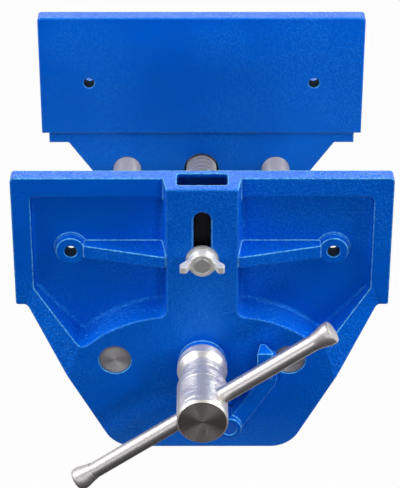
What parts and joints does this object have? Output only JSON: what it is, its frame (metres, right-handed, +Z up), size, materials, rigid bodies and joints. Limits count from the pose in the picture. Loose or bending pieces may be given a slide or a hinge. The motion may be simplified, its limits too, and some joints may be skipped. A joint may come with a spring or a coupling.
{
  "type": "woodworking vise",
  "caption": "Cast iron woodworking vise for mounting under a bench, with twin guide rods, a quick-release screw, a tommy bar and a bench dog in the front jaw.",
  "frame": {"origin": "the middle of the seat that bolts against the underside of the bench top, on its upper face", "axes": "+X to the right along the jaws as the user sees them, +Y from the user towards the bench, +Z up"},
  "size_m": [0.23, 0.575, 0.186],
  "materials": {
    "blue_casting": "gloss blue paint on cast iron, slightly dimpled like orange peel",
    "bright_steel": "turned and polished bright steel",
    "plain_steel": "plain machined steel, lightly oiled",
    "black_steel": "black oxide steel, satin",
    "grey_iron": "unpainted grey cast iron with machined faces",
    "bronze": "plain bearing bronze"
  },
  "bodies": {
    "rear_body": {"rear_jaw_casting": "blue_casting"},
    "front_jaw": {"front_jaw_casting": "blue_casting", "slide_rod_left": "bright_steel", "slide_rod_right": "bright_steel", "rod_lock_pins": "plain_steel", "tie_plate": "blue_casting", "tie_plate_washers": "plain_steel", "tie_plate_nuts": "plain_steel", "screw_bush": "bronze"},
    "main_screw": {"main_screw": "bright_steel", "screw_head": "bright_steel", "head_pin": "plain_steel", "thrust_washer": "plain_steel", "retaining_collar": "plain_steel", "collar_pin": "plain_steel", "end_collar": "plain_steel", "end_pin": "plain_steel"},
    "handle": {"handle_bar": "bright_steel", "handle_cap_left": "bright_steel", "handle_cap_right": "bright_steel"},
    "release_lever": {"release_lever": "blue_casting", "release_bar": "plain_steel", "lever_pin": "plain_steel", "bar_clip": "black_steel", "lever_spring": "black_steel"},
    "half_nut": {"half_nut": "grey_iron"},
    "dog": {"bench_dog": "black_steel", "dog_stud": "plain_steel"},
    "clamp_washer": {"clamp_washer": "bright_steel"},
    "wing_nut": {"wing_nut": "bright_steel"}
  },
  "joints": [
    {"name": "jaw_slide", "type": "slide", "parent": "rear_body", "child": "front_jaw", "axis": [0, 1, 0], "range_m": [-0.103, 0.227]},
    {"name": "screw_turn", "type": "hinge", "parent": "front_jaw", "child": "main_screw", "pos_m": [0, -0.35, -0.03], "axis": [0, 1, 0], "range_deg": [-6179.9, 13619.9]},
    {"name": "handle_slide", "type": "slide", "parent": "main_screw", "child": "handle", "axis": [0.8171, 0, 0.5764], "range_m": [-0.064, 0.064]},
    {"name": "lever_swing", "type": "hinge", "parent": "front_jaw", "child": "release_lever", "pos_m": [0.017, -0.34, -0.071], "axis": [0, -1, 0], "range_deg": [0, 13], "stiffness_Nm_per_rad": 1, "springref_deg": -17.19, "deforming": ["lever_spring"]},
    {"name": "half_nut_swing", "type": "hinge", "parent": "rear_body", "child": "half_nut", "pos_m": [0.017, -0.04, -0.071], "axis": [0, -1, 0], "range_deg": [0, 13]},
    {"name": "dog_rise", "type": "slide", "parent": "front_jaw", "child": "dog", "axis": [0, 0, 1], "range_m": [0, 0.026]},
    {"name": "washer_slide", "type": "slide", "parent": "dog", "child": "clamp_washer", "axis": [0, -1, 0], "range_m": [0, 0.0015]},
    {"name": "wing_turn", "type": "hinge", "parent": "clamp_washer", "child": "wing_nut", "pos_m": [0, -0.335, 0.042], "axis": [0, -1, 0], "range_deg": [0, 360]}
  ],
  "couplings": [
    {"joint": "jaw_slide", "follows": "screw_turn", "m_per_rad": 0.00095493},
    {"joint": "half_nut_swing", "follows": "lever_swing", "ratio": 1},
    {"joint": "washer_slide", "follows": "wing_turn", "m_per_rad": 0.00023873}
  ]
}
